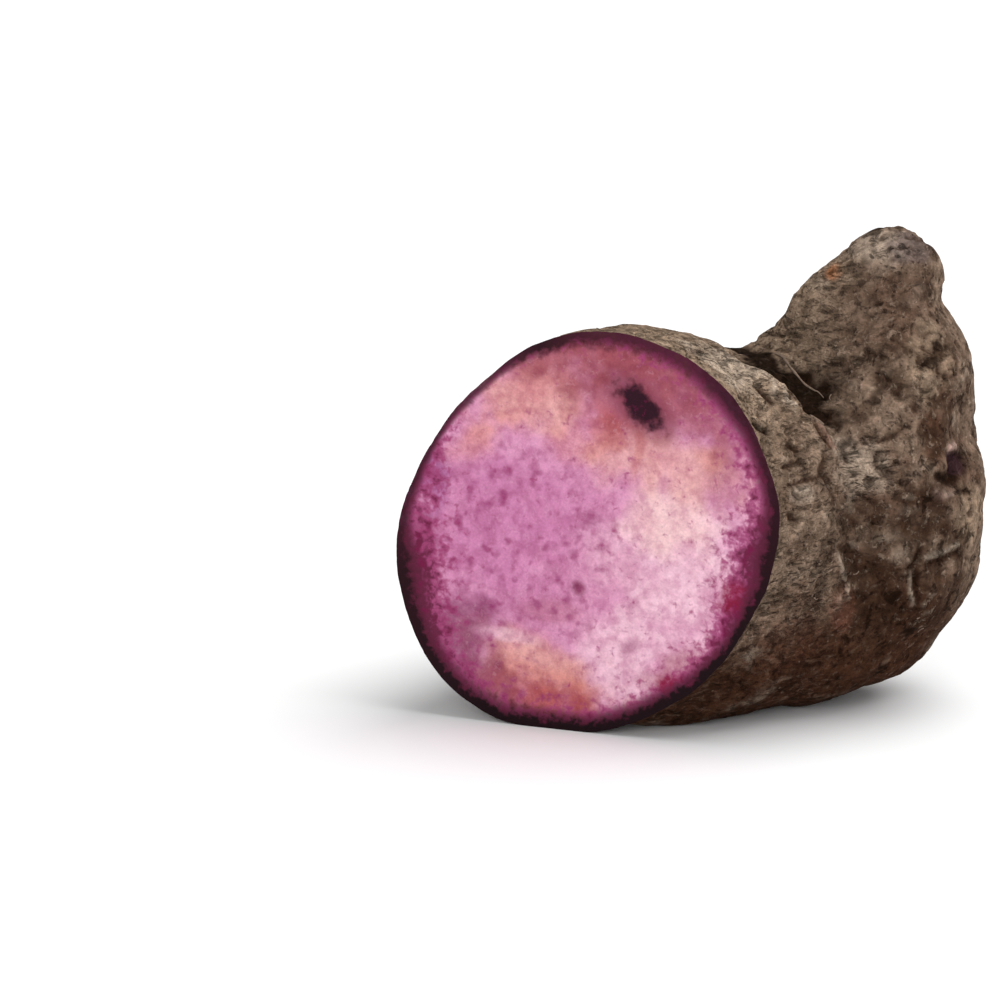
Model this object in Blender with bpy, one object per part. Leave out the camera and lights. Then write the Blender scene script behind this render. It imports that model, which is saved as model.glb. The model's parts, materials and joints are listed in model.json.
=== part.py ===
"""One half of a purple yam, cut straight across its thick neck.

The cut face is upright and looks along -Y. Behind it the tuber bends towards +X round a deep crease and ends in
a lobe that stands up beside the neck. The half lies on small flattened patches of its underside at z = 0, and
the origin is on the ground below the centre of its box.

The shape is laid out first with the cut in the plane y = 0, the ground at z = 0 and x = 0 near the middle of the
cut face, and it is moved to the origin at the end.
"""

import math

import bmesh
import bpy
from mathutils import Euler, Matrix, Vector, noise

MM = 0.001

# The tuber as overlapping lumps, in millimetres and degrees: each centre, its three radii, and its turn about Y.
LUMPS = {
    "neck": ((-2.2, 8, 45.4), (48.6, 70, 41.5), -45),
    "crown": ((2, 10, 60), (34, 54, 32.8), 0),
    "shoulder": ((17, 26, 50), (35.5, 34, 36), 0),
    "keel": ((7, 16, 38), (31, 22, 39.8), 0),
    "belly": ((18, 27, 36), (30, 28, 37.5), 0),
    "back_belly": ((5, 42, 36), (32, 28, 37.8), 0),
    "heel": ((31, 46, 36), (30, 31, 38), 0),
    "lower_lobe": ((46.6, 52.6, 44), (28.5, 30, 40.6), 5),
    "middle_lobe": ((50.8, 55.5, 75), (21, 20, 23), 0),
    "tip": ((50.6, 57, 98.9), (13, 12, 13.4), 0),
    "flank": ((44.2, 54.8, 88), (16, 14, 16.4), 0),
    "crease_end": ((29.8, 53.5, 77), (13, 12, 12), 0),
}
LUMP_SUBDIVISIONS = 4

# The lumps become one skin of squares this wide, and the joints between them are smoothed over.
SKIN_SQUARE = 4.0 * MM
SMOOTH_FACTOR = 0.5
SMOOTH_ROUNDS = 3

# Gentle unevenness all over: how deep the waves are and how far apart.
WAVE_DEPTH = 0.9 * MM
WAVE_LENGTH = 26.0 * MM
WAVE_START = Vector((3.1, 7.7, 1.9))

# Points this near the cut plane are put on it, so that the cut leaves no slivers.
SNAP_TO_CUT = 1.2 * MM
# The underside turns up from the flat patches it lies on within about this height.
REST_SOFTNESS = 1.5 * MM

SKIN_COLOUR = (0.20, 0.155, 0.105, 1.0)
SKIN_ROUGHNESS = 0.85
SHARP_EDGE_ANGLE = math.radians(50)


def clear_scene():
    for item in list(bpy.data.objects):
        bpy.data.objects.remove(item, do_unlink=True)


def lumps_mesh():
    bm = bmesh.new()
    for centre, radii, turn in LUMPS.values():
        move = Matrix.Translation(Vector(centre) * MM)
        rotate = Euler((0, math.radians(turn), 0)).to_matrix().to_4x4()
        stretch = Matrix.Diagonal((*(Vector(radii) * MM), 1))
        bmesh.ops.create_icosphere(
            bm, subdivisions=LUMP_SUBDIVISIONS, radius=1, matrix=move @ rotate @ stretch
        )
    mesh = bpy.data.meshes.new("lumps")
    bm.to_mesh(mesh)
    bm.free()
    return mesh


def fused(lumps):
    """The lumps as one closed skin."""
    body = bpy.data.objects.new("fused_lumps", lumps)
    bpy.context.collection.objects.link(body)
    one_skin = body.modifiers.new("one_skin", "REMESH")
    one_skin.mode = "VOXEL"
    one_skin.voxel_size = SKIN_SQUARE
    soften = body.modifiers.new("soften", "SMOOTH")
    soften.factor = SMOOTH_FACTOR
    soften.iterations = SMOOTH_ROUNDS
    evaluated = body.evaluated_get(bpy.context.evaluated_depsgraph_get())
    skin = bpy.data.meshes.new_from_object(evaluated)
    bpy.data.objects.remove(body, do_unlink=True)
    return skin


def make_uneven(bm):
    bm.normal_update()
    depths = [WAVE_DEPTH * noise.noise(vert.co / WAVE_LENGTH + WAVE_START) for vert in bm.verts]
    for vert, depth in zip(bm.verts, depths, strict=True):
        vert.co += vert.normal * depth


def cut_across(bm):
    """Takes away what is in front of y = 0 and closes the half with one flat face."""
    for vert in bm.verts:
        if abs(vert.co.y) < SNAP_TO_CUT:
            vert.co.y = 0
    tuber = [*bm.verts, *bm.edges, *bm.faces]
    cut = bmesh.ops.bisect_plane(
        bm, geom=tuber, dist=0.001 * MM, plane_co=(0, 0, 0), plane_no=(0, -1, 0), clear_outer=True
    )
    rim = [item for item in cut["geom_cut"] if isinstance(item, bmesh.types.BMEdge)]
    bmesh.ops.contextual_create(bm, geom=rim)
    bmesh.ops.recalc_face_normals(bm, faces=bm.faces)


def flatten_underside(bm):
    """What would be below the ground lies flat on it, and what is just above comes down to meet it."""
    for vert in bm.verts:
        height = max(vert.co.z, 0)
        vert.co.z = height * height / (height + REST_SOFTNESS)


def move_to_origin(bm):
    """Puts the middle of the box above the origin."""
    for axis in (0, 1):
        places = [vert.co[axis] for vert in bm.verts]
        middle = (min(places) + max(places)) / 2
        for vert in bm.verts:
            vert.co[axis] -= middle


def skin_material():
    material = bpy.data.materials.new("yam_skin")
    material.use_nodes = True
    shader = material.node_tree.nodes["Principled BSDF"]
    shader.inputs["Base Color"].default_value = SKIN_COLOUR
    shader.inputs["Roughness"].default_value = SKIN_ROUGHNESS
    shader.inputs["Metallic"].default_value = 0
    return material


def make_yam_half():
    skin = fused(lumps_mesh())
    bm = bmesh.new()
    bm.from_mesh(skin)
    make_uneven(bm)
    cut_across(bm)
    flatten_underside(bm)
    move_to_origin(bm)
    bm.to_mesh(skin)
    bm.free()
    skin.materials.append(skin_material())
    skin.shade_smooth()
    skin.set_sharp_from_angle(angle=SHARP_EDGE_ANGLE)
    half = bpy.data.objects.new("yam_half", skin)
    bpy.context.collection.objects.link(half)


clear_scene()
make_yam_half()
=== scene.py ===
"""Looks of the purple yam half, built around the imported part.

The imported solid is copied, its creases, pits and wrinkles are carved in, it is cut flat again and the cut face is
filled with fine triangles. Colours that change over centimetres are worked out at each point of the mesh, and finer
ones in the materials. Lengths are in millimetres and places are measured from the middle of the cut face, x to the
right, y back into the tuber and z up, unless a name or a comment says otherwise.
"""

import json
import math

import bmesh
import bpy
import numpy as np
from mathutils import Matrix, Vector, geometry, noise
from mathutils.bvhtree import BVHTree


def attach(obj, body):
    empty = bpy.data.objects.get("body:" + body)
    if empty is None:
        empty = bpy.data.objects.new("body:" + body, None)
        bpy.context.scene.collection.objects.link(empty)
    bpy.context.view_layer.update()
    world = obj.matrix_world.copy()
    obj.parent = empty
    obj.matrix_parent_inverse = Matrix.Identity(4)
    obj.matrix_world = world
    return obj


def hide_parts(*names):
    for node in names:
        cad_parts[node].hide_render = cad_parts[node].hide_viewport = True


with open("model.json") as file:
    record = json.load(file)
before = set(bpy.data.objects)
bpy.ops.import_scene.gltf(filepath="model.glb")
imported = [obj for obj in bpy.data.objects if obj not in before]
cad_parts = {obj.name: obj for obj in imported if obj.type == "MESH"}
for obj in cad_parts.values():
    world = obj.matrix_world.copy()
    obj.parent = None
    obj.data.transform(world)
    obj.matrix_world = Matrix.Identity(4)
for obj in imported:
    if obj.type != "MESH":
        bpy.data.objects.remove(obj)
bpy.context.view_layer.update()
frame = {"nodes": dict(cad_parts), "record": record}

METRES = 0.001  # one millimetre in metres
MOUNTS = {mount["name"]: mount for mount in frame["record"]["mounts"]}
FACE_MIDDLE = Vector(MOUNTS["cut_face"]["pos_m"])
GROUND = -FACE_MIDDLE.z / METRES
CUT = 0.0

# How the mesh is made: squares of skin while the big dents are carved, and at the end.
WELD = 0.01
ON_CUT = 0.05
OVERHANG_STEP = 3.0
OVERHANG_STEPS = 3
ROUNDING_LEVELS = 2
COARSE_SQUARE = 1.2
FINE_SQUARE = 0.74
SNAP_TO_CUT = 0.2
FLESH_SPACING = 0.75
GROUND_SOFTNESS = 0.6
CALM_BEHIND_CUT = 4.0

# Dents and ridges along paths: the path, its depth (a ridge is negative) and its half width, both from start to end.
# Each path is laid on the nearest skin. An edge above 2 makes its sides steeper, and some colour the skin with a tone
# and a strength; on the folds named shadow that tone is painted shadow.
BIG_FOLDS = {
    "crease": {
        "path": ((22, 33, 36.8), (26, 31, 37), (31, 28.5, 36), (35.5, 27.5, 34.8), (39, 27, 32.8), (42.3, 26.6, 29.8),
                 (45.6, 27.2, 26.9), (48.2, 28.4, 24.2), (50.6, 27.8, 21.4)),
        "depth": (1.5, 4.0, 7.0, 8.0, 8.0, 6.8, 4.2, 1.6, 0.5),
        "width": (2.6, 3.0, 3.4, 3.4, 3.2, 3.0, 2.7, 2.5, 2.4),
    },
    "above_crease": {
        "path": ((30, 37, 36.2), (34, 37, 35.2), (40, 34.5, 32.2), (45, 32.5, 29.4), (50, 31, 25.8)),
        "depth": (0.6, 2.0, 2.6, 1.8, 0.6),
        "width": (3.5, 5.0, 5.5, 4.5, 3.5),
    },
    "shoulder": {
        "path": ((27, 22, 38.5), (33, 21, 35.5), (38, 20, 32.5), (42.5, 20, 28.8), (46.5, 20.5, 23.8)),
        "depth": (-0.6, -1.0, -1.0, -0.9, -0.4),
        "width": (3.0, 3.0, 3.0, 3.0, 3.0),
    },
    "valley": {
        "path": ((50.8, 28.4, 21.8), (52.5, 25.3, 18), (53.6, 22.6, 12), (54.6, 21.0, 5.2), (54.6, 20.6, -2),
                 (54.6, 22.6, -9), (54.8, 24.5, -15.9)),
        "depth": (1.2, 1.5, 1.7, 1.6, 1.3, 0.9, 0.4),
        "width": (2.4, 2.8, 3.2, 3.2, 3.2, 3.6, 4.0),
    },
    "eye_hollow": {
        "path": ((72.7, 42.6, 17.0), (73.5, 43.6, 14.2), (72.8, 41.0, 11.8), (71.2, 38.0, 11.8)),
        "depth": (0.4, 0.9, 0.8, 0.3),
        "width": (2.6, 3.4, 3.0, 2.2),
    },
    "tip_notch": {
        "path": ((64.5, 52.0, 48.0), (66.5, 57.0, 48.4), (65.0, 63.0, 49.0)),
        "depth": (0.3, 1.2, 0.8),
        "width": (2.4, 2.4, 2.4),
    },
    "lobe_fold": {
        "path": ((63.5, 28.8, -2.0), (69.5, 34.5, -4.5), (75.0, 43.0, -2.6)),
        "depth": (0.4, 0.8, 0.5),
        "width": (2.0, 2.2, 2.2),
    },
}
FINE_FOLDS = {
    "eye_tail": {
        "path": ((73.9, 43.7, 12.0), (73.0, 41.4, 11.6), (71.6, 38.4, 12.0), (70.5, 36.6, 12.9)),
        "depth": (0.9, 0.9, 0.7, 0.3),
        "width": (2.0, 1.9, 1.6, 1.1),
        "edge": 4,
        "tone": ("black", 0.85),
    },
    "eye_pit": {
        "path": ((73.4, 44.0, 14.4), (74.3, 46.6, 13.9)),
        "depth": (1.2, 1.2),
        "width": (2.9, 3.0),
        "edge": 6,
        "tone": ("purple_black", 0.97),
    },
    "eye_lip": {
        "path": ((72.6, 43.4, 17.9), (73.6, 46.6, 18.4)),
        "depth": (-0.6, -0.6),
        "width": (0.8, 0.9),
        "tone": ("rosy", 0.75),
    },
    "eye_low_lip": {
        "path": ((70.2, 35.6, 8.9), (72.0, 38.2, 7.9), (73.4, 41.4, 8.4)),
        "depth": (-0.2, -0.4, -0.2),
        "width": (1.0, 1.2, 1.0),
        "tone": ("rosy", 0.2),
    },
    "triangle_floor": {
        "path": ((54.2, 19.4, -1.5), (56.2, 22.5, -5), (60.0, 26.2, -10.5), (60.6, 28.7, -17), (60.8, 30, -22)),
        "depth": (0.2, 0.9, 1.3, 0.9, 0.2),
        "width": (0.9, 2.4, 5.2, 5.4, 4.6),
        "edge": 3,
        "tone": ("dark", 0.6),
    },
    "triangle_left": {
        "path": ((52.6, 17.0, 0.4), (53.3, 20.0, -5.2), (53.8, 22.2, -9.9), (54.2, 24.6, -17.2)),
        "depth": (-0.3, -0.6, -0.6, -0.2),
        "width": (0.8, 0.8, 0.8, 0.8),
    },
    "triangle_top": {
        "path": ((53.5, 18.4, 0.8), (55.6, 21.9, -1.8), (58.4, 24.5, -4.4), (60.6, 26.2, -7.8)),
        "depth": (-0.3, -0.5, -0.3, -0.1),
        "width": (0.8, 0.8, 0.8, 0.8),
    },
    "triangle_shelf": {
        "path": ((60.6, 26.2, -8.4), (63.3, 28.0, -8.8), (65.8, 30.1, -8.6)),
        "depth": (-0.2, -0.4, -0.4),
        "width": (0.7, 0.7, 0.7),
    },
    "curl": {
        "path": ((66.2, 30.4, -8.8), (66.0, 31.0, -12.6), (66.4, 32.6, -16.6)),
        "depth": (-0.4, -0.6, -0.3),
        "width": (0.45, 0.5, 0.45),
        "tone": ("pale", 0.3),
    },
    # Painted shadow beside the curl.
    "curl_shadow": {
        "path": ((67.4, 31.6, -8.6), (67.2, 32.0, -12.6), (67.5, 33.4, -15.6)),
        "depth": (0.5, 0.6, 0.3),
        "width": (0.8, 0.8, 0.8),
        "tone": ("black", 0.6),
    },
    "diagonal": {
        "path": ((66.3, 30.3, -7.6), (67.4, 31.3, -6.2), (68.6, 32.3, -3.8)),
        "depth": (0.8, 1.0, 0.5),
        "width": (0.8, 0.8, 0.7),
        "tone": ("black", 0.75),
    },
    "strand": {
        "path": ((69.2, 33.2, -5.6), (72.1, 37.6, -4.8), (74.3, 42.5, -4.0)),
        "depth": (-0.4, -0.7, -0.4),
        "width": (0.6, 0.7, 0.6),
        "tone": ("pale", 0.35),
    },
    # Painted shadow beside the strand.
    "strand_shadow": {
        "path": ((69.6, 34, -7.0), (72.3, 38, -6.2), (74.4, 42.6, -5.6)),
        "depth": (0.5, 0.7, 0.3),
        "width": (0.9, 0.9, 0.9),
        "tone": ("black", 0.55),
    },
    "reddish_strip": {
        "path": ((46.6, 22.6, 25.0), (48.3, 22.8, 22.5), (49.8, 23.2, 20.0)),
        "depth": (-0.3, -0.5, -0.2),
        "width": (0.7, 0.9, 0.8),
        "tone": ("reddish", 0.6),
    },
    # Soil and painted shade in the groove beside the reddish strip.
    "reddish_groove": {
        "path": ((45.6, 21.2, 25.6), (47.0, 21.2, 22.8), (48.8, 21.8, 20.0)),
        "depth": (0.7, 1.0, 0.4),
        "width": (0.7, 0.8, 0.7),
        "tone": ("soil_and_shade", 0.9),
    },
    "flake_high": {
        "path": ((36.4, 19.6, 33.6), (37.2, 18.2, 32.7), (37.7, 16.4, 31.6)),
        "depth": (-0.4, -0.6, -0.4),
        "width": (0.6, 0.7, 0.7),
        "tone": ("pale", 0.55),
    },
    "flake_middle": {
        "path": ((38.0, 20.8, 32.7), (38.9, 19.4, 31.8), (39.6, 18.2, 30.8)),
        "depth": (-0.4, -0.6, -0.4),
        "width": (0.6, 0.7, 0.6),
        "tone": ("pale", 0.5),
    },
    "flake_low": {
        "path": ((40.0, 17.4, 30.4), (41.6, 18.4, 29.3)),
        "depth": (-0.7, -0.6),
        "width": (0.8, 0.7),
        "tone": ("pale", 0.55),
    },
    # Painted shadow beside the flakes.
    "flake_shadow": {
        "path": ((38.2, 17.2, 31.6), (39.0, 16.2, 30.7)),
        "depth": (0.6, 0.5),
        "width": (0.6, 0.6),
        "tone": ("dark", 0.7),
    },
    "rim_notch": {
        "path": ((37.9, 2.6, 27.6), (39.3, 5.8, 25.8)),
        "depth": (1.3, 1.0),
        "width": (1.0, 1.0),
        "tone": ("black", 0.9),
    },
    "neck_slit_high": {
        "path": ((34.6, 14.6, 33.6), (36.0, 14.6, 32.2), (37.9, 14.2, 30.6)),
        "depth": (0.4, 1.0, 0.5),
        "width": (0.8, 1.0, 0.9),
        "tone": ("dark", 0.9),
    },
    "neck_slit_middle": {
        "path": ((44.9, 5.7, 14.4), (47.2, 9.8, 14.7), (49.5, 14.2, 14.9)),
        "depth": (0.6, 0.8, 0.4),
        "width": (0.5, 0.6, 0.5),
        "tone": ("dark", 0.75),
    },
    "under_middle_slit": {
        "path": ((45.6, 6.2, 12.9), (47.6, 10.0, 13.2)),
        "depth": (-0.3, -0.3),
        "width": (0.8, 0.8),
        "tone": ("pale", 0.35),
    },
    "neck_slit_upper": {
        "path": ((43.3, 5.6, 18.2), (44.5, 8.1, 18.3), (45.6, 10.3, 18.6)),
        "depth": (0.4, 0.8, 0.7),
        "width": (0.5, 0.7, 0.7),
        "tone": ("dark", 0.75),
    },
    "neck_slit_top": {
        "path": ((43.6, 10.7, 22.2), (45.1, 11.9, 21.2)),
        "depth": (0.9, 0.7),
        "width": (0.8, 0.7),
        "tone": ("dark", 0.75),
    },
    "neck_pit": {
        "path": ((45.6, 6.1, 12.7), (46.4, 6.8, 12.0)),
        "depth": (0.6, 0.5),
        "width": (0.5, 0.5),
        "tone": ("dark", 0.7),
    },
    "neck_slit_low": {
        "path": ((45.6, 3.6, 8.4), (46.3, 4.6, 7.6), (47.1, 5.7, 6.7)),
        "depth": (0.5, 0.8, 0.5),
        "width": (0.6, 0.7, 0.6),
        "tone": ("dark", 0.7),
    },
    "valley_crack": {
        "path": ((49.3, 19.0, 19.1), (49.6, 15.9, 15.8), (50.9, 17.4, 13.6), (52.2, 17.1, 8.9)),
        "depth": (0.5, 0.9, 0.8, 0.4),
        "width": (0.9, 1.1, 1.1, 1.0),
        "tone": ("dark", 0.6),
    },
    "lobe_slit": {
        "path": ((58.4, 28.6, 21.4), (61.4, 31.2, 22.4), (64.0, 33.8, 24.4)),
        "depth": (0.4, 0.8, 0.4),
        "width": (0.6, 0.7, 0.6),
        "tone": ("dark", 0.6),
    },
}

# Where dirt and shade fill the crease: its path before carving and how far it reaches, from start to end.
CREASE_SHADE_PATH = ((20, 43, 36.5), (26, 40, 36.3), (30.5, 36, 35.5), (35, 31, 34), (39, 28.5, 32), (43, 28, 29),
                     (47, 28.5, 25.5))
CREASE_SHADE_REACH = (3.0, 4.0, 4.0, 4.0, 4.0, 3.2, 1.8)

# Small uneven dents of the skin: the middle, the radii and the depth (a swelling is negative).
DENTS = {
    "right_bump": ((75.5, 56.2, 10.5), (4.0, 6.0, 4.5), -0.4),
    "smooth_patch": ((59.3, 34.9, 27.6), (4.5, 6.0, 6.5), -0.3),
    "tip_dark_patch": ((58.5, 52.0, 62.0), (4.0, 6.0, 3.4), 0.5),
}

# Wide soft dents, given in the same way.
SWELLS = {
    "right_waist": ((73.8, 51.0, 22.0), (5.0, 8.0, 9.0), 2.6),
    "low_right": ((68.0, 44.0, -29.5), (9.0, 18.0, 8.0), 2.8),
    "low_middle": ((34.0, 21.0, -43.0), (9.0, 13.0, 6.0), 1.1),
    "left_of_lobe": ((35.5, 47.5, 50.0), (8.0, 7.0, 13.0), -1.7),
    "shoulder_top": ((36.5, 21.0, 34.0), (8, 6, 6), -0.9),
    "foot_of_lobe": ((20.0, 43.0, 37.0), (7.0, 9.0, 5.0), -0.9),
    "tip_top": ((50.6, 57.0, 67.0), (16, 16, 8), -1.5),
}

# Round the rim of the cut, anticlockwise in degrees from the right: how deep the skin dents (a swelling is negative),
# how thick and how black the dark line is, and how wide and how strong the purple band inside it is.
RIM_ANGLES = (-180, -165, -150, -120, -90, -60, -30, 0, 15, 30, 45, 60, 90, 105, 120, 135, 150, 165, 180)
RIM_DENTS = (-1.3, -0.9, -0.5, -0.9, -0.6, 1.3, 0.6, 0.6, -0.6, -0.9, -1.4, -1.7, -1.6, -1.3, -1.2, -1, -0.8, -0.8, -1.3)
LINE_WIDTHS = (2.0, 4.2, 3.2, 3.6, 3.2, 3.0, 2.1, 3.4, 2.6, 2.2, 3.2, 2.8, 2.6, 2.2, 1.3, 1.4, 0.9, 1.4, 2.0)
LINE_SHARES = (0.6, 0.9, 0.9, 1.0, 1.0, 1.0, 1.0, 0.9, 0.8, 0.6, 0.7, 0.4, 0.6, 0.9, 0.5, 0.5, 0.6, 0.6, 0.6)
BAND_WIDTHS = (11.0, 11.0, 10.0, 6.5, 5.5, 5.5, 6.5, 10.0, 7.5, 6.5, 6.5, 5.0, 4.0, 2.5, 1.6, 2.0, 4.0, 8.0, 11.0)
BAND_STRENGTHS = (0.8, 1.6, 1.4, 0.7, 0.85, 1.1, 1.15, 1.5, 1.0, 0.9, 0.95, 0.6, 0.45, 0.5, 0.5, 0.5, 0.65, 0.8, 0.8)
RIM_DEPTH = 8.0

# Thin dry rootlets: the path, the thickness, and whether it hangs free between its ends or lies on the skin.
ROOTLET_RADIUS = 0.25
ROOTLET_STEP = 1.2
ROOTLETS = {
    "across_the_crease": (
        ((30.3, 41.9, 36.4), (32.4, 40.8, 35.9), (35.3, 36.9, 34.4), (37.8, 34.0, 33.2), (40.4, 31.6, 31.6),
         (42.6, 31.9, 30.3), (44.2, 33.6, 29.6)), 1.5, True),
    "end_of_the_crease": (((44.4, 23.7, 27.4), (45.7, 25.5, 26.3), (47.3, 26.5, 24.9)), 1.9, False),
}
STUBS = 46
STUB_LENGTHS = (0.6, 1.8)


# ---- shape ----


def packed_body():
    """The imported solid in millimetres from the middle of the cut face, with the cut pulled forward and closed."""
    bm = bmesh.new()
    bm.from_mesh(frame["nodes"]["yam_half"].data)
    bm.transform(Matrix.Scale(1 / METRES, 4) @ Matrix.Translation(-FACE_MIDDLE))
    bmesh.ops.remove_doubles(bm, verts=bm.verts, dist=WELD)
    face = [f for f in bm.faces if all(abs(v.co.y - CUT) < ON_CUT for v in f.verts)]
    bmesh.ops.delete(bm, geom=face, context="FACES")
    rim = [e for e in bm.edges if e.is_boundary]
    for _ in range(OVERHANG_STEPS):
        grown = bmesh.ops.extrude_edge_only(bm, edges=rim)["geom"]
        for vert in (item for item in grown if isinstance(item, bmesh.types.BMVert)):
            vert.co.y -= OVERHANG_STEP
        rim = [item for item in grown if isinstance(item, bmesh.types.BMEdge)]
        rim = [edge for edge in rim if edge.is_boundary]
    bmesh.ops.contextual_create(bm, geom=rim)
    bmesh.ops.recalc_face_normals(bm, faces=bm.faces)
    mesh = bpy.data.meshes.new("packed_body")
    bm.to_mesh(mesh)
    bm.free()
    return mesh


def remodelled(mesh, *steps):
    """The mesh after some modifiers, each given as its type and its settings."""
    body = bpy.data.objects.new("working_body", mesh)
    bpy.context.scene.collection.objects.link(body)
    for kind, settings in steps:
        modifier = body.modifiers.new(kind.lower(), kind)
        for name, value in settings.items():
            setattr(modifier, name, value)
    evaluated = body.evaluated_get(bpy.context.evaluated_depsgraph_get())
    result = bpy.data.meshes.new_from_object(evaluated)
    bpy.data.objects.remove(body, do_unlink=True)
    return result


def skin_of_squares(width, rounds):
    """The modifiers that make one even skin of squares and smooth its steps away."""
    return (
        ("REMESH", {"mode": "VOXEL", "voxel_size": width}),
        ("SMOOTH", {"factor": 0.5, "iterations": rounds}),
    )


def read_points(mesh):
    points = np.empty(len(mesh.vertices) * 3, np.float32)
    mesh.vertices.foreach_get("co", points)
    return points.reshape(-1, 3).astype(float)


def read_normals(mesh):
    normals = np.empty(len(mesh.vertices) * 3, np.float32)
    mesh.vertex_normals.foreach_get("vector", normals)
    return normals.reshape(-1, 3).astype(float)


def carve(mesh, depths):
    """Moves each point into the body by its depth."""
    points = read_points(mesh) - read_normals(mesh) * depths[:, None]
    mesh.vertices.foreach_set("co", points.astype(np.float32).ravel())
    mesh.update()


def fade(value, start, end):
    """0 up to start, 1 from end, and a smooth change between."""
    share = np.clip((value - start) / (end - start), 0, 1)
    return share * share * (3 - 2 * share)


def waves(points, length, seed, octaves=1):
    """Smooth noise from about -1 to 1 with swells about `length` apart, and finer ones for each further octave."""
    shifted = points / np.asarray(length) + 17.31 * seed
    if octaves == 1:
        return np.array([noise.noise(place) for place in shifted.tolist()]) * 1.6
    return np.array([noise.fractal(place, 0.9, 2.1, octaves) for place in shifted.tolist()]) * 1.3


def ridges(points, length, seed):
    """Noise from 0 to 1 that is highest along thin, winding lines."""
    return 1 - np.clip(np.abs(waves(points, length, seed)) * 2.2, 0, 1)


def along_path(points, path):
    """How far each point is from a path, and its place along it from 0 to 1."""
    corners = np.array(path, float)
    steps = np.diff(corners, axis=0)
    lengths = np.linalg.norm(steps, axis=1)
    passed = np.concatenate([[0], np.cumsum(lengths)])
    nearest = np.full(len(points), np.inf)
    place = np.zeros(len(points))
    for corner, step, length, before in zip(corners, steps, lengths, passed, strict=False):
        share = np.clip((points - corner) @ step / length**2, 0, 1)
        gap = np.linalg.norm(points - corner - share[:, None] * step, axis=1)
        closer = gap < nearest
        nearest[closer] = gap[closer]
        place[closer] = (before + share * length)[closer] / passed[-1]
    return nearest, place


def laid_on(skin, path):
    """The path with each of its corners moved to the nearest skin."""
    return [tuple(skin.find_nearest(Vector(corner))[0]) for corner in path]


def skin_tree(mesh):
    return BVHTree.FromPolygons([v.co for v in mesh.vertices], [p.vertices for p in mesh.polygons])


def fold_share(points, fold, wobble, skin):
    """How much of a fold is at each point, from 0 to 1, and its depth there."""
    gap, place = along_path(points, laid_on(skin, fold["path"]))
    stops = np.linspace(0, 1, len(fold["depth"]))
    width = np.interp(place, stops, fold["width"]) * (1 + 0.25 * wobble)
    share = np.exp(-((gap / width) ** fold.get("edge", 2)))
    return share, share * np.interp(place, stops, fold["depth"])


def fold_depths(points, folds, wobble, skin):
    """The depth of all the folds together at each point."""
    return sum(fold_share(points, fold, wobble, skin)[1] for fold in folds.values())


def fold_marks_and_shadows(points, folds, wobble, skin):
    """The colour that the folds paint on the skin, their marks and painted shadow, with how much of it as the last
    part.
    """
    tone = np.tile(SKIN_TONES["dark"], (len(points), 1))
    cover = np.zeros(len(points))
    for fold in (fold for fold in folds.values() if "tone" in fold):
        name, strength = fold["tone"]
        share = strength * fold_share(points, fold, wobble, skin)[0]
        tone = mix(tone, SKIN_TONES[name], share / np.maximum(share + cover * (1 - share), 1e-6))
        cover = share + cover * (1 - share)
    return np.column_stack([tone, cover])


def zone(points, middle, radii, wobble=0.0):
    """1 inside an ellipsoid and 0 outside it, with a soft edge that the wobble makes uneven."""
    reach = np.linalg.norm((points - np.array(middle)) / np.array(radii), axis=1)
    return 1 - fade(reach + wobble, 0.6, 1.3)


def soft_zone(points, middle, radii):
    """1 in the middle of an ellipsoid, fading smoothly to nothing some way outside it."""
    return np.exp(-(((points - np.array(middle)) / np.array(radii)) ** 2).sum(1))


def round_the_rim(flat, values):
    angles = np.degrees(np.arctan2(flat[:, 1], flat[:, 0]))
    return np.interp(angles, RIM_ANGLES, values)


def big_depths(points, skin):
    wobble = waves(points, 6, 1)
    swell = 0.45 * waves(points, 15, 2) * (0.15 + 0.85 * fade(points[:, 1] - CUT, 0, 14))
    return fold_depths(points, BIG_FOLDS, wobble, skin) + swell


def on_neck(points):
    """1 on the neck behind the cut face and 0 on the lobe."""
    right, back, _ = points.T
    return 1 - fade(right + 0.25 * (back - 20), 48, 56)


def wrinkle_strength(points):
    """How wrinkled the skin is: most on the neck and the middle of the lobe, least low down."""
    low = fade(points[:, 2], -32, -8)
    return (0.45 + 0.55 * low) * (0.6 + 0.4 * fade(waves(points, 15, 3), -0.4, 0.4))


def wrinkle_depths(points):
    """Short level wrinkles on the neck, and crossed ones and small pits everywhere."""
    bent = points + 1.4 * np.column_stack([waves(points, 5, seed) for seed in (31, 32, 33)])
    neck = on_neck(points)
    level = ridges(bent, (6.5, 6.5, 2.0), 7) * fade(waves(points, 5, 34), -0.4, 0.3)
    crossed = ridges(bent, (4.6, 4.6, 3.4), 8) * fade(waves(points, 7, 35), -0.4, 0.3)
    pits = fade(waves(points, 3.0, 36), 0.45, 0.9)
    depths = 0.7 * level * (0.3 + 0.7 * neck) + 0.6 * crossed * (1 - 0.7 * neck) + 0.5 * pits * (1 - 0.7 * neck)
    return depths * wrinkle_strength(points)


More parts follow.
